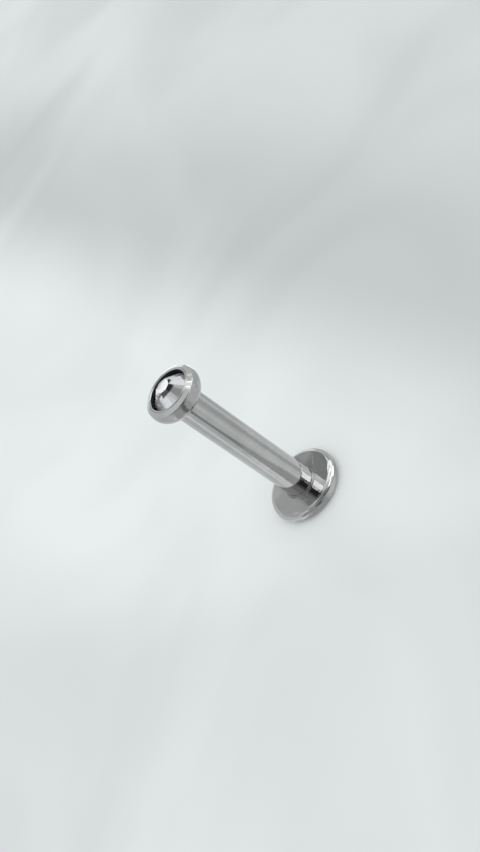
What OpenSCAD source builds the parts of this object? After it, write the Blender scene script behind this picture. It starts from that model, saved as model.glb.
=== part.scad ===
// Labret stud: a round post with a flat back disc, and a head that pulls off the post.
// It stands on the flat of its disc. The stud's axis is Z, the stone faces up,
// and the origin is the centre of the disc's flat back.

/* [Back disc] */
// Diameter of the back disc
disc_d = 4.0; // [3.2:0.1:6]
// Thickness of the back disc, whose rim is a full half round
disc_t = 0.62; // [0.4:0.02:1.0]

/* [Post] */
// Diameter of the post
post_d = 1.6; // [1.5:0.05:2.0]
// Length of post that shows between the disc and the head
post_len = 8.65; // [6:0.05:14]
// Width of the sloped weld bead where the post meets the disc
weld_w = 0.12; // [0.02:0.01:0.15]
// Width of the bevel round the post's open end
post_bevel = 0.03; // [0.01:0.01:0.05]

/* [Pin and bore] */
// Diameter of the pin under the head
pin_d = 1.1; // [0.8:0.05:1.1]
// Length of the pin under the head
pin_len = 3.0; // [2:0.1:4.5]
// Width of the bevel round the tip of the pin
pin_bevel = 0.12; // [0.05:0.01:0.2]
// Gap all round between the pin and its bore
pin_clear = 0.05; // [0.02:0.01:0.08]
// Depth of straight bore left below the tip of the pin
bore_spare = 0.3; // [0.1:0.05:0.6]
// Height of the cone that the drill leaves at the bottom of the bore
drill_cone_h = 0.25; // [0.1:0.05:0.4]
// Width of the bevel round the mouth of the bore
bore_bevel = 0.05; // [0.02:0.01:0.08]

/* [Head] */
// Largest diameter of the head, at the bulge of its side
head_d = 2.91; // [2.8:0.01:3.2]
// Height of the head from its back face to its lip
head_h = 0.92; // [0.86:0.01:1.1]
// Height of the bulge above the back face
bulge_z = 0.51; // [0.4:0.01:0.6]
// Radius of the arc that the side of the head follows in section
side_arc_r = 0.7; // [0.61:0.005:0.9]
// Height of the crease where the side ends and the sloped front begins
crease_z = 0.775; // [0.7:0.005:0.82]
// Width of the bevel round the back face
back_bevel = 0.03; // [0.01:0.01:0.06]
// Diameter of the mouth of the cup
mouth_d = 2.15; // [2.0:0.01:2.3]
// Width of the half-round bead that runs round the mouth
lip_w = 0.09; // [0.06:0.01:0.12]
// Width of the groove between the bead and the sloped front
groove_w = 0.025; // [0.01:0.005:0.04]
// Drop from the top of the bead to the sloped front beside the groove
lip_step = 0.02; // [0.01:0.005:0.025]
// Depth of the cup from the top of the lip to its floor
cup_depth = 0.47; // [0.35:0.01:0.6]

/* [Stone] */
// Gap all round between the stone and the wall of the cup
stone_clear = 0.02; // [0.01:0.005:0.04]
// Height of the stone's table above the lip
table_rise = 0.32; // [0.1:0.01:0.5]
// Width of the table across its flats
table_w = 0.68; // [0.4:0.02:0.8]
// Width across the flats of the ring of shallow facets round the table
shoulder_w = 1.02; // [0.9:0.02:1.3]
// Drop from the table to the outer edge of the shallow facets
shoulder_drop = 0.115; // [0.04:0.005:0.16]
// Height of the plain girdle below the middle of each steep facet
girdle_h = 0.15; // [0.08:0.01:0.2]
// Width of the bevel round the foot of the stone
foot_bevel = 0.04; // [0.01:0.01:0.06]
// Number of facets in the ring round the table; the ring of steep facets has twice as many
facets = 8; // [8:1:12]
// Turn of the first shallow facet round the axis, in degrees
facet_turn = 18.5; // [0:0.5:45]

/* [Fit] */
// Gap between flat faces that seat on each other
seat_gap = 0.01; // [0:0.005:0.02]

/* [Hidden] */
$fn = 96;

// radii
disc_r = disc_d / 2;
rim_r = disc_t / 2;
post_r = post_d / 2;
pin_r = pin_d / 2;
bore_r = pin_r + pin_clear;
head_r = head_d / 2;
mouth_r = mouth_d / 2;
stone_r = mouth_r - stone_clear;

// heights
post_top = disc_t + post_len;
bore_floor = post_top - pin_len - bore_spare;
head_z = post_top + seat_gap;
cup_floor = head_h - cup_depth;
stone_z = head_z + cup_floor + seat_gap;
stone_h = cup_depth - seat_gap + table_rise;
shoulder_z = stone_h - shoulder_drop;

// the side of the head in section: an arc about arc_x, which meets the back face and the crease
arc_x = head_r - side_arc_r;
function side_x(z) = arc_x + sqrt(pow(side_arc_r, 2) - pow(z - bulge_z, 2));
back_r = side_x(0);
crease_r = side_x(crease_z);

// the sloped front falls from the groove beside the bead to the crease
bead_z = head_h - lip_w / 2;
groove_r = mouth_r + lip_w + groove_w;
front_fall = (head_h - lip_step - crease_z) / (crease_r - groove_r);

// the bevel round the back face runs outward this much for each unit that it rises
BEVEL_RUN = 3;
// a radius just outside the head, where the trimming lines end
trim_r = head_r + back_bevel;

// Each row is a ring of facets. The steep ones are turned by a quarter of a shallow facet, so that
// their edges start at the corners and at the middles of the shallow ones.
FACET_RINGS = [
    // inner radius, inner height, outer radius, outer height, number of facets, turn of the first
    [table_w / 2, stone_h, shoulder_w / 2, shoulder_z, facets, facet_turn],
    [shoulder_w / 2, shoulder_z, stone_r, girdle_h, 2 * facets, facet_turn - 90 / facets],
];

module labret_post() {
    color("silver")
    rotate_extrude() {
        polygon([
            [0, 0],
            [disc_r - rim_r, 0],
            [disc_r - rim_r, disc_t],
            [post_r + weld_w, disc_t],
            [post_r, disc_t + weld_w],
            [post_r, post_top - post_bevel],
            [post_r - post_bevel, post_top],
            [bore_r + bore_bevel, post_top],
            [bore_r, post_top - bore_bevel],
            [bore_r, bore_floor],
            [0, bore_floor - drill_cone_h],
        ]);
        translate([disc_r - rim_r, rim_r])
        circle(r = rim_r);
    }
}

// The outside of the head in section: the round side, trimmed by the back bevel and the sloped
// front, with the bead that runs round the mouth
module head_outline() {
    intersection() {
        union() {
            translate([arc_x, bulge_z])
            circle(r = side_arc_r);
            square([arc_x, head_h]);
        }
        polygon([
            [0, 0],
            [back_r - back_bevel, 0],
            [trim_r, (trim_r - back_r + back_bevel) / BEVEL_RUN],
            [trim_r, crease_z - (trim_r - crease_r) * front_fall],
            [groove_r, head_h - lip_step],
            [mouth_r + lip_w, bead_z],
            [0, bead_z],
        ]);
    }
    translate([mouth_r + lip_w / 2, bead_z])
    circle(d = lip_w);
}

module bezel_head() {
    color("silver")
    translate([0, 0, head_z])
    rotate_extrude() {
        difference() {
            head_outline();
            translate([0, cup_floor])
            square([mouth_r, cup_depth]);
        }
        polygon([
            [0, -pin_len],
            [pin_r - pin_bevel, -pin_len],
            [pin_r, -pin_len + pin_bevel],
            [pin_r, 0],
            [0, 0],
        ]);
    }
}

// The waste above one ring of facets, each facet a flat cut that slopes down and out
module facet_waste(ring) {
    slope = atan2(ring[1] - ring[3], ring[2] - ring[0]);
    count = ring[4];
    waste = 2 * stone_r;
    for (i = [0 : count - 1])
        rotate(ring[5] + i * 360 / count)
        translate([ring[0], 0, ring[1]])
        rotate([0, slope, 0])
        translate([-waste, -waste, 0])
        cube([3 * waste, 2 * waste, waste]);
}

// The stone before its facets are cut: a plain round blank with a bevelled foot
module stone_blank() {
    cylinder(h = foot_bevel, r1 = stone_r - foot_bevel, r2 = stone_r);
    translate([0, 0, foot_bevel])
    cylinder(h = stone_h - foot_bevel, r = stone_r);
}

module stone() {
    color("gainsboro")
    translate([0, 0, stone_z])
    difference() {
        difference() {
            stone_blank();
            facet_waste(FACET_RINGS[1]);
        }
        facet_waste(FACET_RINGS[0]);
    }
}

labret_post();
bezel_head();
stone();
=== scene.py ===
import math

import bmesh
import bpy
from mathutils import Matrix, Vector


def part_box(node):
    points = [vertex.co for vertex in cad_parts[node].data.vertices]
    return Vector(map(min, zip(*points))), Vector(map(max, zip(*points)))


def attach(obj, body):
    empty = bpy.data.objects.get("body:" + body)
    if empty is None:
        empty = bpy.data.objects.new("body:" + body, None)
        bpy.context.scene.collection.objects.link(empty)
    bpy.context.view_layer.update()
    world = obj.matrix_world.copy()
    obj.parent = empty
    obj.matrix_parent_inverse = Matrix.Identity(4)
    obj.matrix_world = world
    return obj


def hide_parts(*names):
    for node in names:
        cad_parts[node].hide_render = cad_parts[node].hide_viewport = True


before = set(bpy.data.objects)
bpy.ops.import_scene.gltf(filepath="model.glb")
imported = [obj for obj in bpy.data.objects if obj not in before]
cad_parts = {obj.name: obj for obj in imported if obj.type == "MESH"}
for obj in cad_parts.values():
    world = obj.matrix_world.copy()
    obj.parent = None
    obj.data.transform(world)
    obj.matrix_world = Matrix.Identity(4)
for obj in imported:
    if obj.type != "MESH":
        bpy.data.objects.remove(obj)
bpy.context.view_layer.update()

# %% [markdown]
# # A labret stud, polished for its picture
#
# A labret stud is three small things: a post turned in one piece with a flat back disc, a head with a
# cup for the stone, and the stone itself. The exact solids are already in the scene as a fixed frame.
# Each lesson below makes one finished piece that stands in the place of one of those solids, and then
# gives it its metal or its crystal.

MM = 0.001


def span(node):
    """Lowest and highest corner of a solid, in millimetres."""
    low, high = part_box(node)
    return low / MM, high / MM


post_low, post_high = span("labret_post")
head_low, head_high = span("bezel_head")
stone_low, stone_high = span("stone")
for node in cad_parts:
    low, high = span(node)
    print(node, "from", [round(v, 3) for v in low], "to", [round(v, 3) for v in high])

# %% [markdown]
# ## The camera
#
# The picture was taken from above the stone's side, with the camera rolled until the standing post runs
# across the frame. Here the stud stays upright on its disc, and the camera takes the same angle to it.
# A camera could be aimed with a constraint, but a constraint can't roll. So its three axes are worked
# out from an elevation and a roll, and its place from where the mouth of the cup has to show.

# %% camera
FRAME_PX = (480, 852)
FOCAL_PX = 1305.4
MOUTH_PX = (167.2, 389.7)
MOUTH_DEPTH = 58.94
CAM_ELEVATION = math.radians(36.83)
CAM_ROLL = math.radians(54.84)
SENSOR = 36
NEAREST = 5 * MM
FURTHEST = 5

right = Vector((1, 0, 0))
up = Vector((0, math.sin(CAM_ELEVATION), math.cos(CAM_ELEVATION)))
back = Vector((0, -math.cos(CAM_ELEVATION), math.sin(CAM_ELEVATION)))
cam_x = math.cos(CAM_ROLL) * right - math.sin(CAM_ROLL) * up
cam_y = math.sin(CAM_ROLL) * right + math.cos(CAM_ROLL) * up

mouth = Vector((0, 0, head_high.z))
seen_x = (MOUTH_PX[0] - FRAME_PX[0] / 2) / FOCAL_PX * MOUTH_DEPTH
seen_y = (FRAME_PX[1] / 2 - MOUTH_PX[1]) / FOCAL_PX * MOUTH_DEPTH
eye = mouth - cam_x * seen_x - cam_y * seen_y + back * MOUTH_DEPTH

camera_data = bpy.data.cameras.new("camera")
camera_data.sensor_width = SENSOR
camera_data.lens = FOCAL_PX * SENSOR / max(FRAME_PX)
camera_data.clip_start = NEAREST
camera_data.clip_end = FURTHEST
camera = bpy.data.objects.new("camera", camera_data)
camera.matrix_world = Matrix((cam_x, cam_y, back)).transposed().to_4x4()
camera.location = eye * MM
bpy.context.scene.collection.objects.link(camera)
bpy.context.scene.camera = camera
print("camera at, mm:", [round(v, 2) for v in eye], "lens", round(camera_data.lens, 2))

# %% [markdown]
# ## Turned profiles
#
# The post and the head are lathe work, so each is one section turned round the axis. Blender has a
# Screw modifier for that, but a mesh written out in code keeps the poles clean and puts the loops
# where the light needs them. A section is a short list of corners, each with the radius that the
# lathe tool and the polishing wheel leave on it, because no real edge is sharp.

# %% from corners to a section with rounded edges
ROUND_STEPS = 6
WIDE_FILLET = 0.2
WIDE_FACTOR = 3
TINY = 1e-6
SAME_POINT = 1e-5
HOLD = 0.012
HELD_FROM = 6 * HOLD


def corner(r, z, fillet=0.0):
    return Vector((r, z)), fillet


def rounded(corners):
    """The section's points: every corner with a fillet becomes an arc that is tangent to both sides."""
    points = [corners[0][0]]
    for (before, _), (at, fillet), (after, _) in zip(corners, corners[1:], corners[2:]):
        back_way = (before - at).normalized()
        on_way = (after - at).normalized()
        half = back_way.angle(on_way) / 2
        reach = fillet / math.tan(half)
        if reach < TINY:
            points.append(at)
            continue
        centre = at + (back_way + on_way).normalized() * (fillet / math.sin(half))
        first = at + back_way * reach - centre
        turn = first.angle_signed(at + on_way * reach - centre)
        finer = WIDE_FACTOR if fillet > WIDE_FILLET else 1
        steps = max(2, round(ROUND_STEPS * abs(turn) / (math.pi / 2) * finer))
        for i in range(steps + 1):
            a = -turn * i / steps
            points.append(centre + Vector((first.x * math.cos(a) - first.y * math.sin(a),
                                           first.x * math.sin(a) + first.y * math.cos(a))))
    points.append(corners[-1][0])
    kept = [points[0]]
    for p in points[1:]:
        if (p - kept[-1]).length > SAME_POINT:
            kept.append(p)
    return kept


def held(points):
    """Adds a loop close to each end of every long straight stretch, so that flat faces shade flat."""
    out = [points[0]]
    for a, b in zip(points, points[1:]):
        if (b - a).length > HELD_FROM:
            way = (b - a).normalized()
            out += [a + way * HOLD, b - way * HOLD]
        out.append(b)
    return out


# %% from a section to a turned mesh
AROUND = 240


def turned(name, section, around=AROUND):
    """A closed mesh turned round Z from a section that starts and ends on the axis."""
    verts, rings = [], []
    for p in section:
        if p.x < TINY:
            rings.append([len(verts)])
            verts.append((0, 0, p.y * MM))
        else:
            rings.append(range(len(verts), len(verts) + around))
            for i in range(around):
                a = math.tau * i / around
                verts.append((p.x * math.cos(a) * MM, p.x * math.sin(a) * MM, p.y * MM))
    faces = []
    for low, high in zip(rings, rings[1:]):
        for i in range(around):
            j = (i + 1) % around
            if len(low) == 1:
                faces.append((low[0], high[j], high[i]))
            elif len(high) == 1:
                faces.append((low[i], low[j], high[0]))
            else:
                faces.append((low[i], low[j], high[j], high[i]))
    mesh = bpy.data.meshes.new(name)
    mesh.from_pydata(verts, [], faces)
    mesh.update()
    mesh.shade_smooth()
    piece = bpy.data.objects.new(name, mesh)
    bpy.context.scene.collection.objects.link(piece)
    print(name, len(section), "section points,", len(faces), "faces")
    return piece


# %% [markdown]
# ## The post and its back disc
#
# On the real stud the disc is turned with the post or laser welded to it, and the joint is polished to
# a tiny fillet. The disc's rim is a full half round, which is kind to the skin. The open end of the
# post is bored to take the head's pin.

# %% post
disc_r = (post_high.x - post_low.x) / 2
disc_t = 0.62
post_r = 0.8
post_top = post_high.z
weld = 0.12
bore_r = 0.6
bore_floor = 5.97
drill_cone = 0.25
edge = 0.02

# each corner's rounding is a multiple of edge: the longer the wheel can press there, the rounder it is
post_section = held(rounded([
    corner(0, 0),
    corner(disc_r, 0, disc_t / 2),
    corner(disc_r, disc_t, disc_t / 2),
    corner(post_r, disc_t, weld),
    corner(post_r, post_top, edge),
    corner(bore_r, post_top, 1.5 * edge),
    corner(bore_r, bore_floor, edge),
    corner(0, bore_floor - drill_cone),
]))
post = turned("turned_post", post_section)

# %% [markdown]
# ## The head
#
# The head is a shallow cup. Its side is one arc, a sloped front runs from a crease up to the mouth, and
# a half-round bead a tenth of a millimetre wide is left standing round the mouth to hold the stone.
# The section repeats those forms, with a softened edge wherever the polishing wheel reached.

# %% head
head_r = (head_high.x - head_low.x) / 2
lip_z = head_high.z
pin_tip = head_low.z
head_h = 0.92
bulge_h = 0.51
crease_h = 0.775
cup_depth = 0.47
head_z = lip_z - head_h
bulge_z = head_z + bulge_h
crease_z = head_z + crease_h
cup_floor = lip_z - cup_depth
side_arc_r = 0.7
mouth_r = 1.075
lip_w = 0.09
groove_w = 0.025
lip_step = 0.02
pin_r = 0.55
pin_nose = 0.12
SIDE_STEPS = 22


def side_at(z):
    """Radius of the head's round side at a height."""
    return head_r - side_arc_r + math.sqrt(side_arc_r ** 2 - (z - bulge_z) ** 2)


side_start = head_z + edge
side_rise = crease_z - head_z - 1.6 * edge
side_heights = [side_start + side_rise * i / SIDE_STEPS for i in range(SIDE_STEPS + 1)]
side = [corner(side_at(z), z) for z in side_heights]
bead_z = lip_z - lip_w / 2
head_section = held(rounded([
    corner(0, pin_tip),
    corner(pin_r, pin_tip, pin_nose),
    corner(pin_r, head_z, edge),
    corner(side_at(head_z), head_z, edge),
    *side,
    corner(side_at(crease_z), crease_z, 1.8 * edge),
    corner(mouth_r + lip_w + groove_w, lip_z - lip_step, 0.4 * edge),
    corner(mouth_r + lip_w, bead_z, 0.2 * edge),
    corner(mouth_r + lip_w, lip_z, lip_w / 2),
    corner(mouth_r, lip_z, lip_w / 2),
    corner(mouth_r, cup_floor, edge),
    corner(0, cup_floor),
]))
head = turned("bezel_cup", head_section)

# %% [markdown]
# ## The stone
#
# A lapidary starts from a round blank and grinds one flat after another. The same can be done in bmesh:
# a cylinder is bisected by one plane per facet, and what lies outside the plane is thrown away. That
# keeps every facet truly flat, which is what makes a cut stone flash.

# %% stone
FACETS = 8
FACET_TURN = math.radians(18.5)
table_r = 0.34
shoulder_r = 0.51
shoulder_drop = 0.115
girdle_h = 0.15
foot_bevel = 0.04
stone_r = 1.055
stone_z = stone_low.z
table_z = stone_high.z
shoulder_z = table_z - shoulder_drop
STONE_AROUND = 192
CUT_TOLERANCE = 1e-9
SAME_FACET = math.radians(0.2)
GRIND_ORDER = [
    # inner radius, inner height, outer radius, outer height, facets, turn of the first
    (shoulder_r, shoulder_z, stone_r, stone_z + girdle_h, 2 * FACETS, FACET_TURN - math.pi / 2 / FACETS),
    (table_r, table_z, shoulder_r, shoulder_z, FACETS, FACET_TURN),
]


def cut_stone(name):
    blank = turned(name, [Vector((0, stone_z)), Vector((stone_r - foot_bevel, stone_z)),
                          Vector((stone_r, stone_z + foot_bevel)), Vector((stone_r, table_z)),
                          Vector((0, table_z))], STONE_AROUND)
    bm = bmesh.new()
    bm.from_mesh(blank.data)
    for r_in, z_in, r_out, z_out, count, first in GRIND_ORDER:
        slope = math.atan2(z_in - z_out, r_out - r_in)
        for i in range(count):
            a = first + math.tau * i / count
            out = Vector((math.cos(a), math.sin(a), 0))
            normal = out * math.sin(slope) + Vector((0, 0, math.cos(slope)))
            on_plane = (out * r_in + Vector((0, 0, z_in))) * MM
            everything = bm.verts[:] + bm.edges[:] + bm.faces[:]
            cut = bmesh.ops.bisect_plane(bm, geom=everything, dist=CUT_TOLERANCE,
                                         plane_co=on_plane, plane_no=normal, clear_outer=True)
            rim = [e for e in cut["geom_cut"] if isinstance(e, bmesh.types.BMEdge)]
            bmesh.ops.contextual_create(bm, geom=rim)
    bmesh.ops.dissolve_limit(bm, angle_limit=SAME_FACET, verts=bm.verts[:], edges=bm.edges[:])
    for face in bm.faces:
        face.smooth = False
    bm.to_mesh(blank.data)
    bm.free()
    print(name, "faces after cutting:", len(blank.data.polygons))
    return blank


stone = cut_stone("cut_stone")

# %% the pieces take their places
PLACES = (
    (post, "labret_post", "post", "polished_steel"),
    (head, "bezel_head", "head", "polished_steel"),
    (stone, "stone", "head", "crystal"),
)
for piece, node, body, slot in PLACES:
    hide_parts(node)
    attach(piece, body)
    print(piece.name, "stands for", node, "and rides on", body)

# %% [markdown]
# ## The dark wall of the cup
#
# The wall of the cup is never polished. Its near-black colour is painted shade, for the deep gap between
# the stone and the bead. That dark ring is what sets the stone off. It needs no mesh of its own: the
# same turned piece takes a second material on the faces between the bead and the floor of the cup.

# %% faces of the cup wall
CUP_SLOT = 1
MARGIN = 0.01
for face in head.data.polygons:
    middle = face.center / MM
    within = math.hypot(middle.x, middle.y) < mouth_r + MARGIN
    inside = within and cup_floor - MARGIN < middle.z < bead_z
    face.material_index = CUP_SLOT if inside else 0
print("cup faces:", sum(face.material_index == CUP_SLOT for face in head.data.polygons))

# %% [markdown]
# ## Effects that several finishes share
#
# Polished steel is not one colour. The lathe leaves rings that the wheel only softens, the wheel leaves
# a slow waver, and handling adds haze and hairlines. Each of these is a shader node group with its own
# inputs, so that the post, the head, the cup and the stone can each have their own amount. All of them
# read the piece's own coordinates, turned into millimetres, because a noise texture has no use for
# thousandths of a metre.
#
# A polishing wheel also can't reach into the corner where a post meets a flat. A dull ring stays there,
# a little rougher than the rest, and its darker colour is painted shade for the shade that falls in the
# corner. It could be painted by hand, but a turned piece gives it away by radius and height alone: the
# mask is one wherever a point is within reach of that corner.

# %% small helpers for node trees
def add(tree, kind, **settings):
    node = tree.nodes.new("ShaderNode" + kind)
    for key, value in settings.items():
        setattr(node, key, value)
    return node


def put(tree, socket, value):
    """Links an output to a socket, or sets the socket to a plain number or colour."""
    if isinstance(value, bpy.types.NodeSocket):
        tree.links.new(value, socket)
    else:
        socket.default_value = value


def calc(tree, operation, *values):
    node = add(tree, "Math", operation=operation)
    for socket, value in zip(node.inputs, values):
        put(tree, socket, value)
    return node.outputs[0]


def remap(tree, value, low, high, to_low=0.0, to_high=1.0, smooth=False):
    node = add(tree, "MapRange")
    if smooth:
        node.interpolation_type = "SMOOTHSTEP"
    for name, given in (("Value", value), ("From Min", low), ("From Max", high),
                        ("To Min", to_low), ("To Max", to_high)):
        put(tree, node.inputs[name], given)
    return node.outputs["Result"]


def millimetres(tree):
    where = add(tree, "TexCoord")
    scaled = add(tree, "VectorMath", operation="SCALE")
    tree.links.new(where.outputs["Object"], scaled.inputs[0])
    scaled.inputs["Scale"].default_value = 1 / MM
    return scaled.outputs["Vector"]


def noise(tree, vector, scale, detail=2.0, rough=0.5, distortion=0.0):
    node = add(tree, "TexNoise")
    for name, given in (("Vector", vector), ("Scale", scale), ("Detail", detail),
                        ("Roughness", rough), ("Distortion", distortion)):
        put(tree, node.inputs[name], given)
    return node.outputs["Fac"]


def new_group(name, inputs, outputs):
    """An empty shader group whose inputs are name: default, and whose outputs are names."""
    tree = bpy.data.node_groups.new(name, "ShaderNodeTree")
    for label, value in inputs.items():
        socket = tree.interface.new_socket(label, in_out="INPUT", socket_type="NodeSocketFloat")
        socket.default_value = value
    for label in outputs:
        tree.interface.new_socket(label, in_out="OUTPUT", socket_type="NodeSocketFloat")
    start = tree.nodes.new("NodeGroupInput")
    end = tree.nodes.new("NodeGroupOutput")
    print("group", name, list(inputs), "->", list(outputs))
    return tree, start.outputs, end.inputs


# %% lathe rings: ridges that depend on radius and height alone
def radius_and_height(tree):
    parts = add(tree, "SeparateXYZ")
    tree.links.new(millimetres(tree), parts.inputs[0])
    squares = [calc(tree, "POWER", parts.outputs[axis], 2.0) for axis in "XY"]
    return calc(tree, "SQRT", calc(tree, "ADD", *squares)), parts.outputs["Z"]


lathe_rings, given, out = new_group("lathe_rings", {"Rings per mm": 12.0}, ["Height"])
radius, height = radius_and_height(lathe_rings)
along = add(lathe_rings, "CombineXYZ")
lathe_rings.links.new(radius, along.inputs["X"])
lathe_rings.links.new(height, along.inputs["Z"])
ridges = noise(lathe_rings, along.outputs[0], given["Rings per mm"], detail=1.5)
put(lathe_rings, out["Height"], ridges)

# %% dull corners: a mask round the corner between a post and a flat, for its roughness and painted shade
CORNER_FADE = 1.5
dull_shaded_corner, given, out = new_group(
    "dull_shaded_corner", {"Radius": 1.0, "Height": 0.0, "Reach": 0.1}, ["Mask"])
radius, height = radius_and_height(dull_shaded_corner)
steps = [calc(dull_shaded_corner, "POWER", calc(dull_shaded_corner, "SUBTRACT", *pair), 2.0)
         for pair in ((radius, given["Radius"]), (height, given["Height"]))]
away = calc(dull_shaded_corner, "SQRT", calc(dull_shaded_corner, "ADD", *steps))
fade_end = calc(dull_shaded_corner, "MULTIPLY", given["Reach"], CORNER_FADE)
mask = remap(dull_shaded_corner, away, given["Reach"], fade_end, 1.0, 0.0, smooth=True)
put(dull_shaded_corner, out["Mask"], mask)

# %% polishing waver: slow hills that bend a reflection without blurring it
polish_waver, given, out = new_group(
    "polish_waver", {"Hills per mm": 0.7, "Lengthen": 0.35}, ["Height"])
stretch = add(polish_waver, "VectorMath", operation="MULTIPLY")
polish_waver.links.new(millimetres(polish_waver), stretch.inputs[0])
shape = add(polish_waver, "CombineXYZ")
shape.inputs["X"].default_value = 1
shape.inputs["Y"].default_value = 1
polish_waver.links.new(given["Lengthen"], shape.inputs["Z"])
polish_waver.links.new(shape.outputs[0], stretch.inputs[1])
hills = noise(polish_waver, stretch.outputs[0], given["Hills per mm"], detail=1.0)
put(polish_waver, out["Height"], hills)

# %% handling haze: cloudy patches where the shine is a little dulled
HAZE_BAND = (0.4, 0.68)
handling_haze, given, out = new_group("handling_haze", {"Patches per mm": 0.8}, ["Haze"])
cloud = noise(handling_haze, millimetres(handling_haze), given["Patches per mm"],
              detail=4.0, rough=0.6, distortion=0.4)
put(handling_haze, out["Haze"], remap(handling_haze, cloud, *HAZE_BAND, smooth=True))

# %% hairlines: two families of long thin scratches that cross
HAIRLINE_TURNS = ((0.5, 0.3, 0.2), (1.4, -0.5, 0.9))
HAIRLINE_BAND = (0.70, 0.78)
hairlines, given, out = new_group("hairlines", {"Lines per mm": 14.0, "Lengthen": 0.05}, ["Lines"])
families = []
for turn in HAIRLINE_TURNS:
    turned_way = add(hairlines, "Mapping")
    turned_way.inputs["Rotation"].default_value = turn
    hairlines.links.new(millimetres(hairlines), turned_way.inputs["Vector"])
    narrow = add(hairlines, "VectorMath", operation="MULTIPLY")
    shape = add(hairlines, "CombineXYZ")
    shape.inputs["X"].default_value = 1
    shape.inputs["Y"].default_value = 1
    hairlines.links.new(given["Lengthen"], shape.inputs["Z"])
    hairlines.links.new(turned_way.outputs[0], narrow.inputs[0])
    hairlines.links.new(shape.outputs[0], narrow.inputs[1])
    grain = noise(hairlines, narrow.outputs[0], given["Lines per mm"], detail=0.0)
    families.append(remap(hairlines, grain, *HAIRLINE_BAND))
put(hairlines, out["Lines"], calc(hairlines, "MAXIMUM", *families))


# %% [markdown]
# ## Polished surgical steel
#
# Surgical steel is a greyer metal than silver: it sends back about half of what falls on it. The post
# and the head are finished on different wheels, so the same recipe makes two steels. Haze moves both
# colour and roughness, and the rings, the waver and the hairlines add up to one height in millimetres,
# which one Bump node turns into normals.

# %% a recipe for steel
# painted shade: the darker colour of the corners that the wheel can't reach
CORNER_SHADE_TONE = (0.24, 0.239, 0.236)
CORNER_ROUGHNESS = 0.15
HAIRLINE_ROUGHNESS = 0.05


def use(tree, group, **values):
    node = tree.nodes.new("ShaderNodeGroup")
    node.node_tree = group
    for key, value in values.items():
        node.inputs[key.replace("_", " ")].default_value = value
    return node.outputs[0]


def mixed(tree, factor, first, second):
    """A blend of two colours, each a red, green and blue or the output of another node."""
    node = add(tree, "Mix", data_type="RGBA")
    put(tree, node.inputs["Factor"], factor)
    for socket, colour in ((node.inputs["A"], first), (node.inputs["B"], second)):
        put(tree, socket, (*colour, 1) if isinstance(colour, tuple) else colour)
    return node.outputs["Result"]


def steel(name, bright, dull, rough, rings, waver, scratch, corner_at):
    """Polished steel.

    rough is (clean, hazed); rings, waver and scratch are heights in millimetres; corner_at is the
    radius and height of the dull corner, which is rougher and carries painted shade, and how far it
    reaches.
    """
    material = bpy.data.materials.new(name)
    material.use_nodes = True
    tree = material.node_tree
    shader = tree.nodes["Principled BSDF"]
    haze = use(tree, handling_haze, Patches_per_mm=0.8)
    lines = use(tree, hairlines, Lines_per_mm=14.0)
    corner_r, corner_z, reach = corner_at
    unreached_and_shaded = use(tree, dull_shaded_corner, Radius=corner_r, Height=corner_z, Reach=reach)
    polished = mixed(tree, haze, bright, dull)
    put(tree, shader.inputs["Base Color"], mixed(tree, unreached_and_shaded, polished, CORNER_SHADE_TONE))
    shader.inputs["Metallic"].default_value = 1.0
    worn = calc(tree, "MULTIPLY_ADD", lines, HAIRLINE_ROUGHNESS, remap(tree, haze, 0.0, 1.0, *rough))
    worn = calc(tree, "MULTIPLY_ADD", unreached_and_shaded, CORNER_ROUGHNESS, worn)
    put(tree, shader.inputs["Roughness"], worn)
    height = calc(tree, "MULTIPLY", use(tree, lathe_rings), rings)
    height = calc(tree, "MULTIPLY_ADD", use(tree, polish_waver), waver, height)
    height = calc(tree, "MULTIPLY_ADD", lines, -scratch, height)
    bump = add(tree, "Bump")
    bump.inputs["Distance"].default_value = MM
    put(tree, bump.inputs["Height"], height)
    tree.links.new(bump.outputs["Normal"], shader.inputs["Normal"])
    print("steel", name, "roughness", rough)
    return material


post_steel = steel("post_steel", bright=(0.505, 0.505, 0.5), dull=(0.46, 0.46, 0.455),
                   rough=(0.035, 0.075), rings=0.0003, waver=0.008, scratch=0.0003,
                   corner_at=(post_r, disc_t, 0.75 * weld))
head_steel = steel("head_steel", bright=(0.49, 0.49, 0.487), dull=(0.45, 0.45, 0.445),
                   rough=(0.03, 0.06), rings=0.00015, waver=0.004, scratch=0.0002,
                   corner_at=(pin_r, head_z, 2 * edge))
post.data.materials.append(post_steel)
head.data.materials.append(head_steel)

# %% [markdown]
# ## The cemented cup wall
# The cup wall is painted dark as shade, and is only half shiny. Its haze is coarser than the steel's,
# and it has no rings. In the facets of the stone the same wall is painted grey near the lip, as a
# painted reflection of the wall seen through lit crystal. The Light Path node gives reflected rays this
# lighter copy, and direct rays the dark one.

# %% cup wall
# painted shade on the cup wall, and a lighter painted copy that the stone's facets reflect
CEMENT = ((0.008, 0.0085, 0.009), (0.035, 0.036, 0.038))
CEMENT_IN_STONE = ((0.1, 0.102, 0.105), (0.46, 0.465, 0.475))
CEMENT_ROUGHNESS = (0.22, 0.4)
cup_wall = bpy.data.materials.new("cup_wall")
cup_wall.use_nodes = True
tree = cup_wall.node_tree
shader = tree.nodes["Principled BSDF"]
haze = use(tree, handling_haze, Patches_per_mm=2.4)
shaded_wall = mixed(tree, haze, *CEMENT)
parts = add(tree, "SeparateXYZ")
tree.links.new(millimetres(tree), parts.inputs[0])
near_lip = remap(tree, parts.outputs["Z"], stone_z + girdle_h, bead_z)
lit_wall = mixed(tree, near_lip, *CEMENT_IN_STONE)
in_stone = add(tree, "LightPath").outputs["Is Glossy Ray"]
put(tree, shader.inputs["Base Color"], mixed(tree, in_stone, shaded_wall, lit_wall))
shader.inputs["Metallic"].default_value = 0.8
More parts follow.
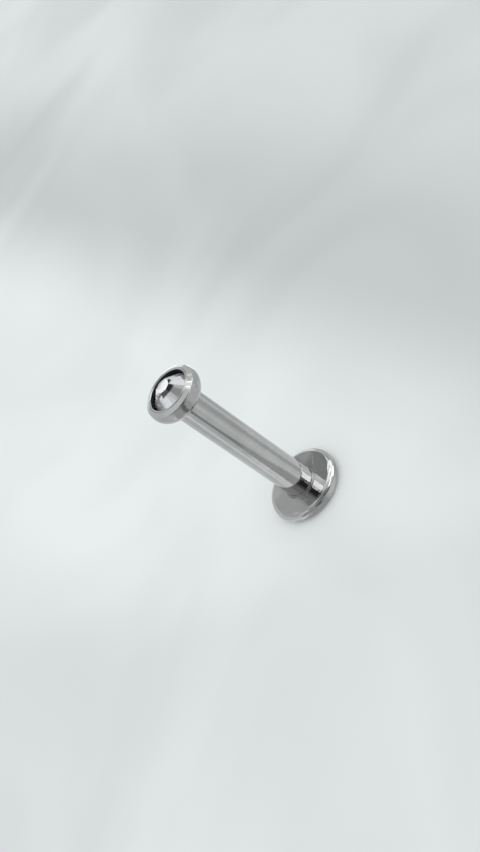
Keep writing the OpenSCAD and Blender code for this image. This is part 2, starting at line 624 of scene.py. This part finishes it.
put(tree, shader.inputs["Roughness"], remap(tree, haze, 0.0, 1.0, *CEMENT_ROUGHNESS))
head.data.materials.append(cup_wall)
print("cup wall: from", CEMENT[0], "to", CEMENT[1])

# %% [markdown]
# ## The crystal
#
# A small stud stone is crystal glass with silver foil behind it. Light goes in through a facet, comes
# back off the foil and leaves with that facet's own tone, while the glass adds a thin sharp gloss of its
# own. True glass over foil would do this too, but at two millimetres it turns noisy and pale. So the
# foil is the metal base of the shader, and the glass over it is a full clear coat.

# %% crystal over foil
FOIL = ((0.78, 0.79, 0.81), (0.72, 0.73, 0.755))
FOIL_ROUGHNESS = (0.015, 0.04)
crystal = bpy.data.materials.new("foiled_crystal")
crystal.use_nodes = True
tree = crystal.node_tree
shader = tree.nodes["Principled BSDF"]
haze = use(tree, handling_haze, Patches_per_mm=1.3)
put(tree, shader.inputs["Base Color"], mixed(tree, haze, *FOIL))
shader.inputs["Metallic"].default_value = 1.0
put(tree, shader.inputs["Roughness"], remap(tree, haze, 0.0, 1.0, *FOIL_ROUGHNESS))
shader.inputs["Coat Weight"].default_value = 1.0
shader.inputs["Coat Roughness"].default_value = 0.01
shader.inputs["Coat IOR"].default_value = 1.55
stone.data.materials.append(crystal)
for piece in (post, head, stone):
    print(piece.name, "is finished in", [material.name for material in piece.data.materials])

# %% [markdown]
# ## The studio
#
# A mirror-polished thing this small shows nothing but its surroundings, so lighting it means deciding
# what it reflects. A studio does that with softboxes, and with white, grey and black cards held just
# outside the picture. Here the cards are planes that only reflections can see, each aimed at the stud
# from a direction given by azimuth and elevation. The floor is lit by a pale room and two lamps.

# %% helpers for aiming things at the stud
HEAD_MIDDLE = Vector((0, 0, lip_z))


def direction(azimuth, elevation):
    """Unit vector towards a place in the studio: azimuth 0 is -Y, and 90 is +X."""
    a, e = math.radians(azimuth), math.radians(elevation)
    return Vector((math.sin(a) * math.cos(e), -math.cos(a) * math.cos(e), math.sin(e)))


def aimed(obj, azimuth, elevation, distance, turn=0.0):
    """Puts obj out in that direction, facing the stud, turned about the line to it."""
    way = direction(azimuth, elevation)
    facing = way.to_track_quat("Z", "Y").to_matrix() @ Matrix.Rotation(math.radians(turn), 3, "Z")
    obj.matrix_world = Matrix.Translation((HEAD_MIDDLE + way * distance) * MM) @ facing.to_4x4()
    bpy.context.scene.collection.objects.link(obj)
    return obj


# %% a card's material: an even tone that fades at its edges
CARD_TINT = (0.985, 1.0, 1.005)
HARD_EDGE = 0.001


def card_material(name, tone, soft_across, soft_along, taper=1.0, one_sided=False):
    """A glow of one tone.

    soft_across and soft_along are the shares that fade at its sides and its ends; taper is near width
    over far width; a one-sided card can't be seen from its back.
    """
    material = bpy.data.materials.new(name)
    material.use_nodes = True
    tree = material.node_tree
    tree.nodes.clear()
    parts = add(tree, "SeparateXYZ")
    tree.links.new(add(tree, "TexCoord").outputs["Generated"], parts.inputs[0])
    off_middle = calc(tree, "ABSOLUTE", calc(tree, "SUBTRACT", parts.outputs["X"], 0.5))
    width_here = remap(tree, parts.outputs["Y"], 0.0, 1.0, 1.0, taper)
    from_side = calc(tree, "SUBTRACT", 0.5, calc(tree, "DIVIDE", off_middle, width_here))
    from_end = calc(tree, "PINGPONG", parts.outputs["Y"], 0.5)
    fades = [remap(tree, inward, 0.0, max(soft / 2, HARD_EDGE), smooth=True)
             for inward, soft in ((from_side, soft_across), (from_end, soft_along))]
    glow = add(tree, "Emission")
    glow.inputs["Color"].default_value = (*(tone * t for t in CARD_TINT), 1)
    cover = add(tree, "MixShader")
    share = calc(tree, "MULTIPLY", *fades)
    if one_sided:
        share = calc(tree, "SUBTRACT", share, add(tree, "NewGeometry").outputs["Backfacing"])
    put(tree, cover.inputs["Fac"], share)
    tree.links.new(add(tree, "BsdfTransparent").outputs[0], cover.inputs[1])
    tree.links.new(glow.outputs[0], cover.inputs[2])
    tree.links.new(cover.outputs[0], add(tree, "OutputMaterial").inputs["Surface"])
    return material


def only_reflected(obj):
    obj.visible_camera = False
    obj.visible_diffuse = False
    obj.visible_shadow = False


def plane(name, near_wide, far_wide, high):
    """A flat card, wider at its far end if it is a wedge."""
    mesh = bpy.data.meshes.new(name)
    n, f, h = near_wide * MM / 2, far_wide * MM / 2, high * MM / 2
    mesh.from_pydata([(-n, h, 0), (-f, -h, 0), (f, -h, 0), (n, h, 0)], [], [(0, 1, 2, 3)])
    return bpy.data.objects.new(name, mesh)


# %% the cards round the stud: each is a little nearer than the one before, so it covers it
CARD_DISTANCE = 250
CARD_STEP = 1
CARDS = {
    # name: azimuth, elevation, width and height in degrees, turn, tone, share of it that fades
    "horizon": (174, 3, 42, 10, 0, 1.45, 0.2),
    "low_glow": (164, 17, 16, 24, 0, 1.25, 0.4),
    "window_glow": (106, 26, 30, 44, 0, 0.88, 0.3),
    "window": (80, 16.5, 30, 38, -14, 2.5, 0.15),
    "window_side": (104.5, 46.5, 15, 11, 20, 2.3, 0.12),
    "window_top": (85, 57, 14, 12, 0, 1.9, 0.2),
    "dark_right": (22, 32, 34, 40, 0, 0.15, 0.3),
    "near_window": (57, 39.5, 37, 13, 0, 3.0, 0.12),
    "side_bar": (101, 38.8, 29, 5, 0, 1.75, 0.12),
    "gap_bar": (125, 38.8, 12, 5, 0, 1.2, 0.1),
    "back_bar": (141, 39.3, 16, 5, 0, 1.75, 0.12),
    "high_window": (104.7, 59.5, 14, 20, 33, 1.45, 0.08),
    "high_window_sill": (111.5, 53.5, 14, 2.8, 33, 2.3, 0.1),
    "high_window_head": (99.5, 63, 14, 2.8, 36, 2.3, 0.1),
    "high_blade": (138, 59.5, 20, 8, 45, 2.8, 0.1),
    "dark_back": (167.5, 38.5, 24, 14, 0, 0.34, 0.05),
    "grey_back": (-164, 38.5, 25, 14, 0, 0.58, 0.05),
    "dim_front": (-30, 15, 96, 50, 0, 0.43, 0.3),
    "dim_left": (-54, 38, 38, 11, 0, 0.45, 0.3),
    "front_top": (-15, 64, 58, 24, 0, 0.3, 0.12),
    "dark_front": (-15, 22, 44, 64, 0, 0.17, 0.5),
    "low_front": (-2, 20, 44, 23, 0, 0.52, 0.3),
    "dark_core": (2, 39.5, 32, 9, 0, 0.045, 0.15),
    "near_window_step": (28, 39.7, 17, 1.2, 0, 3.0, 0.2),
    "dark_top": (-3, 75, 30, 18, 0, 0.2, 0.25),
    # small flags, one or two for each facet of the stone
    "table_edge": (-179.36, 31.9, 4, 2.4, 0, 0.28, 0),
    "table_light": (-179.36, 34.95, 4, 4, 0, 1.2, 0),
    "black_facet": (68.7, 70.37, 3, 3, 0, 0.03, 0),
    "dark_facet": (-85.06, 63.27, 3, 3, 0, 0.1, 0),
    "far_facet_flag": (127.863, 33.565, 1.2, 1.4, -5.4, 0.04, 0),
    "left_facet_flag": (-133.434, 25.958, 1, 1.2, 10.1, 0.12, 0),
    "front_flag": (16.527, 58.965, 1.4, 1.8, -12.5, 0.58, 0),
    "front_black_flag": (18.245, 59.464, 0.8, 1.6, 77.1, 0.03, 0),
    "wedge_light": (68.4, 48.9, 3, 3, 0, 0.56, 0),
    "wedge_flag": (67.331, 49.237, 1.4, 1.8, -28.7, 0.31, 0),
    "wedge_black_flag": (68.59, 49.78, 1, 1, 41.7, 0.03, 0),
    "left_light": (-39.6, 56, 3, 3, 0, 0.69, 0),
    "left_flag": (-38.429, 56.274, 1.4, 2, 29, 0.58, 0),
    "left_dark_flag": (-40.08, 56.568, 0.8, 1.6, -67.0, 0.1, 0),
    "side_dark_flag": (-83.635, 43.08, 0.8, 1.6, -38.5, 0.1, 0),
    "low_flag": (-114.675, 24.78, 1, 1.6, 50.9, 0.21, 0),
    "low_left_flag": (-139.4, 6.7, 4, 3, 0, 0.3, 0.4),
}


def degrees_wide(degrees, distance):
    return 2 * distance * math.tan(math.radians(degrees) / 2)


for order, (name, (azimuth, elevation, wide, high, turn, tone, soft)) in enumerate(CARDS.items()):
    distance = CARD_DISTANCE - CARD_STEP * order
    across = degrees_wide(wide, distance)
    card = plane(name, across, across, degrees_wide(high, distance))
    card.data.materials.append(card_material(name, tone, soft, soft))
    only_reflected(aimed(card, azimuth, elevation, distance, turn))
print(len(CARDS), "cards at about", CARD_DISTANCE, "mm")

# %% [markdown]
# ## Cards close to the stud
#
# The post is a standing mirror, and its lower half mirrors the floor. Long strips laid on the floor give
# it the fine light and dark lines that run along it, where a far card could only give it one tone. Each
# strip is a wedge that widens with its distance, because the post narrows what it mirrors.
#
# Other cards stand so near that each is meant for one face of the stud alone. A photographer would cut
# them to size and hold them with tweezers. Here their material is clear when it is seen from behind, so
# a card that faces down is seen by the disc below it and not by the head, and one that faces up is seen
# by the head's round side and not by the disc. They are small, because a near card covers a lot of sky.

# %% strips that lie on the floor beside the stud, for the long reflections in the post
LIFT = 0.01
STRIPS = {
    # name: azimuth, nearest and furthest distance, width at both, shift to the right, tone,
    # shares that fade at the sides and at the ends
    "far_floor": (180, 32, 220, 36, 220, 0, 1.05, 0.4, 0.1),
    "bright_floor": (168, 14, 220, 8, 90, 0, 1.5, 0.4, 0.03),
    "left_far_floor": (-157, 30, 110, 9, 34, 0, 0.45, 0.3, 0.1),
    "left_floor": (-147, 7, 40, 6, 32, 0, 0.7, 0.9, 0.3),
    "right_floor": (52, 20, 220, 20, 220, 0, 0.82, 0.6, 0.06),
    "bright_spot": (164, 14.5, 26, 7, 12, 0, 1.95, 0.5, 0.15),
    "dim_floor": (-22, 13, 220, 28, 380, 0, 0.52, 0.6, 0.08),
    "dark_floor": (-14, 12.5, 220, 11, 165, 0, 0.2, 0.8, 0.05),
    "dark_strip": (-33, 1.4, 15, 3.8, 6.2, 1.1, 0.34, 0.95, 0.1),
    "dark_fan": (-31, 12.5, 30, 6, 17.5, 0.9, 0.3, 0.95, 0.1),
    "dim_near_strip": (-33, 1.2, 8.2, 3.2, 4.4, 1.1, 0.51, 0.9, 0.3),
    "pale_near_strip": (-48, 1.8, 7, 0.9, 2.4, 0, 1.05, 0.9, 0.3),
    "pale_strip": (21, 1.5, 16, 1.2, 11, 0, 0.84, 0.95, 0.1),
    "grey_strip": (60, 1.5, 16, 1.2, 11.5, 0, 0.57, 0.95, 0.1),
    "side_strip": (93, 1.5, 16, 1.6, 12, 0, 0.84, 0.95, 0.1),
    "white_strip": (-69, 0.5, 17, 0.8, 9, 0, 1.04, 0.95, 0.4),
}
for order, (name, strip_sizes) in enumerate(STRIPS.items(), 1):
    azimuth, near, far, near_wide, far_wide, shift, tone, soft_across, soft_along = strip_sizes
    strip = plane(name, near_wide, far_wide, far - near)
    taper = near_wide / far_wide
    strip.data.materials.append(card_material(name, tone, soft_across, soft_along, taper))
    way = direction(azimuth, 0)
    rightward = direction(azimuth + 90, 0)
    above = Vector((0, 0, LIFT * order))
    strip.location = (way * (near + far) / 2 + rightward * shift + above) * MM
    strip.rotation_euler.z = math.radians(azimuth)
    bpy.context.scene.collection.objects.link(strip)
    only_reflected(strip)
print(len(STRIPS), "strips, each", LIFT, "mm above the one before")

# %% a fan of wedges just below the head, which face up, for the round side of the head
FAN_HEIGHT = 8.7
FAN_NEAR = 1.3
FAN_FAR = 14
FAN_TAPER = FAN_NEAR / FAN_FAR
FAN_END_FADE = 0.06
FAN = {
    # name: azimuth, angle that it spans, tone, share that fades at its sides
    "fan_right": (30, 66, 0.73, 0.45),
    "fan_left": (-34, 36, 0.53, 0.3),
    "fan_middle": (1, 24, 0.55, 0.6),
    "fan_dark": (-15, 22, 0.22, 0.9),
}
for order, (name, (azimuth, angle, tone, soft)) in enumerate(FAN.items()):
    flare = 2 * math.tan(math.radians(angle) / 2)
    wedge = plane(name, FAN_NEAR * flare, FAN_FAR * flare, FAN_FAR - FAN_NEAR)
    wedge.data.materials.append(card_material(name, tone, soft, FAN_END_FADE, FAN_TAPER, one_sided=True))
    above = Vector((0, 0, FAN_HEIGHT + LIFT * order))
    wedge.location = (direction(azimuth, 0) * (FAN_NEAR + FAN_FAR) / 2 + above) * MM
    wedge.rotation_euler.z = math.radians(azimuth)
    bpy.context.scene.collection.objects.link(wedge)
    only_reflected(wedge)
print(len(FAN), "wedges from", FAN_NEAR, "to", FAN_FAR, "mm out, at height", FAN_HEIGHT)

# %% small cards low over the back disc, which face down, for the disc alone
LOW_CARDS = {
    # name: height, tone, share that fades, and the corners, clockwise as seen from above
    "blade_light": (2.4, 2.0, 0, [(3.62, 0.6), (7.2, 1.25), (9, 1.3), (9, -0.7), (4.7, -1.0),
                                  (3.65, -0.4)]),
    "blade_root": (2.4, 1.8, 0, [(1.42, 0.95), (1.6, 0.72), (2.3, 0.52), (3.61, 0.5), (3.61, -0.35),
                                 (2.6, 0), (2, 0.05), (1.42, 0.18)]),
    "rim_shade": (2.4, 0.55, 0, [(3.6, 0.85), (3.6, 2.6), (4.8, 2.8), (6.7, 2.2), (6.7, 1.35)]),
    "corner_shade": (2.4, 0.56, 0.2, [(-2.0, 0.3), (-0.55, 0.3), (-0.55, -1.6), (-2.0, -1.6)]),
    "left_shade": (2.4, 0.62, 0.1, [(-5.2, 2.4), (-2.0, 2.4), (-2.0, -1.3), (-5.2, -1.3)]),
    "face_light": (1.5, 0.52, 0.6, [(0.7, 1.3), (0.7, 3.2), (1.9, 3.2), (1.9, 1.3)]),
    "far_face_light": (1.5, 0.7, 0.6, [(-1.9, 1.5), (-1.9, 3.2), (-0.7, 3.2), (-0.7, 1.5)]),
}
for name, (card_height, tone, soft, corners) in LOW_CARDS.items():
    verts = [(x * MM, y * MM, card_height * MM) for x, y in corners]
    mesh = bpy.data.meshes.new(name)
    mesh.from_pydata(verts, [], [range(len(verts))])
    mesh.materials.append(card_material(name, tone, soft, soft, one_sided=True))
    low_card = bpy.data.objects.new(name, mesh)
    bpy.context.scene.collection.objects.link(low_card)
    only_reflected(low_card)
    print(name, "faces", "down" if mesh.polygons[0].normal.z < 0 else "up")

# %% two lamps, which light the floor and cast a faint shadow
LAMPS = {
    # name: azimuth, elevation, distance, size in mm, watts
    "overhead": (-60, 70, 110, 90, 0.003),
    "from_behind": (160, 40, 150, 60, 0.006),
}
for name, (azimuth, elevation, distance, size, watts) in LAMPS.items():
    data = bpy.data.lights.new(name, "AREA")
    data.shape = "DISK"
    data.size = size * MM
    data.energy = watts
    lamp = aimed(bpy.data.objects.new(name, data), azimuth, elevation, distance)
    lamp.visible_glossy = False
    lamp.visible_camera = False
    print("lamp", name, "at", distance, "mm,", watts, "W")

# %% [markdown]
# ## Floor and room
#
# The floor is one plain pale sheet. Its tone drifts a little over several centimetres at random. Painted
# shade makes it fall off towards one side and a shade darker in front, standing in for a matt card that
# isn't lit quite evenly. The room is a pale sky that is brighter overhead, because a ceiling bounces the
# lamps and the walls don't.

# %% floor
FLOOR_HALF = 400 * MM
FLOOR_LIGHT = (0.922, 0.942, 0.945)
FLOOR_DARK = (0.505, 0.523, 0.527)
CLOUDS_PER_MM = 0.05
CLOUD_BAND = (0.35, 0.68)
SIDEWAYS = 0.12
# painted shade on the floor, which comes and goes with the distance from the stud
SHADES = {
    # name: where it starts and ends, in mm from the stud, and how dark it is at both
    "falling_off": (2.5, 12.0, 0.0, 1.0),
    "coming_back": (14.0, 26.0, 1.0, 0.55),
    "nearer": (-10.0, -4.0, 0.16, 0.0),
    "to_the_left": (-14.0, -7.0, 0.16, 0.0),
}
SHADE_SHARE = 0.68
CLOUD_SHARE = 0.2
floor_mesh = bpy.data.meshes.new("floor")
floor_mesh.from_pydata([(-FLOOR_HALF, -FLOOR_HALF, 0), (FLOOR_HALF, -FLOOR_HALF, 0),
                        (FLOOR_HALF, FLOOR_HALF, 0), (-FLOOR_HALF, FLOOR_HALF, 0)], [], [(0, 1, 2, 3)])
floor = bpy.data.objects.new("floor", floor_mesh)
bpy.context.scene.collection.objects.link(floor)

pale_floor = bpy.data.materials.new("pale_floor")
pale_floor.use_nodes = True
tree = pale_floor.node_tree
shader = tree.nodes["Principled BSDF"]
drift = noise(tree, millimetres(tree), CLOUDS_PER_MM, distortion=0.8)
cloudy = remap(tree, drift, *CLOUD_BAND, smooth=True)
parts = add(tree, "SeparateXYZ")
tree.links.new(millimetres(tree), parts.inputs[0])
aside = calc(tree, "MULTIPLY_ADD", parts.outputs["Y"], SIDEWAYS, parts.outputs["X"])
falling_off = remap(tree, aside, *SHADES["falling_off"], smooth=True)
coming_back = remap(tree, aside, *SHADES["coming_back"], smooth=True)
shade = calc(tree, "MULTIPLY", falling_off, coming_back)
ahead = calc(tree, "ADD", parts.outputs["X"], parts.outputs["Y"])
nearer = remap(tree, ahead, *SHADES["nearer"], smooth=True)
to_the_left = remap(tree, aside, *SHADES["to_the_left"], smooth=True)
edges = calc(tree, "MAXIMUM", nearer, to_the_left)
darkness = calc(tree, "MULTIPLY_ADD", shade, SHADE_SHARE, edges)
darkness = calc(tree, "MULTIPLY_ADD", cloudy, CLOUD_SHARE, darkness)
put(tree, shader.inputs["Base Color"], mixed(tree, darkness, FLOOR_LIGHT, FLOOR_DARK))
shader.inputs["Roughness"].default_value = 0.9
shader.inputs["Specular IOR Level"].default_value = 0.2
floor_mesh.materials.append(pale_floor)
print("floor, mm across:", 2 * FLOOR_HALF / MM)

# %% room
LOW_TONE = (0.78, 0.795, 0.8)
HIGH_TONE = (0.9, 0.925, 0.93)
HORIZON_TO_TOP = (0.3, 0.95)
world = bpy.data.worlds.new("room")
world.use_nodes = True
tree = world.node_tree
parts = add(tree, "SeparateXYZ")
tree.links.new(add(tree, "TexCoord").outputs["Generated"], parts.inputs[0])
overhead = remap(tree, parts.outputs["Z"], *HORIZON_TO_TOP, smooth=True)
put(tree, tree.nodes["Background"].inputs["Color"], mixed(tree, overhead, LOW_TONE, HIGH_TONE))
bpy.context.scene.world = world
bpy.context.scene.view_settings.view_transform = "Standard"
print("room: from", LOW_TONE, "to", HIGH_TONE)
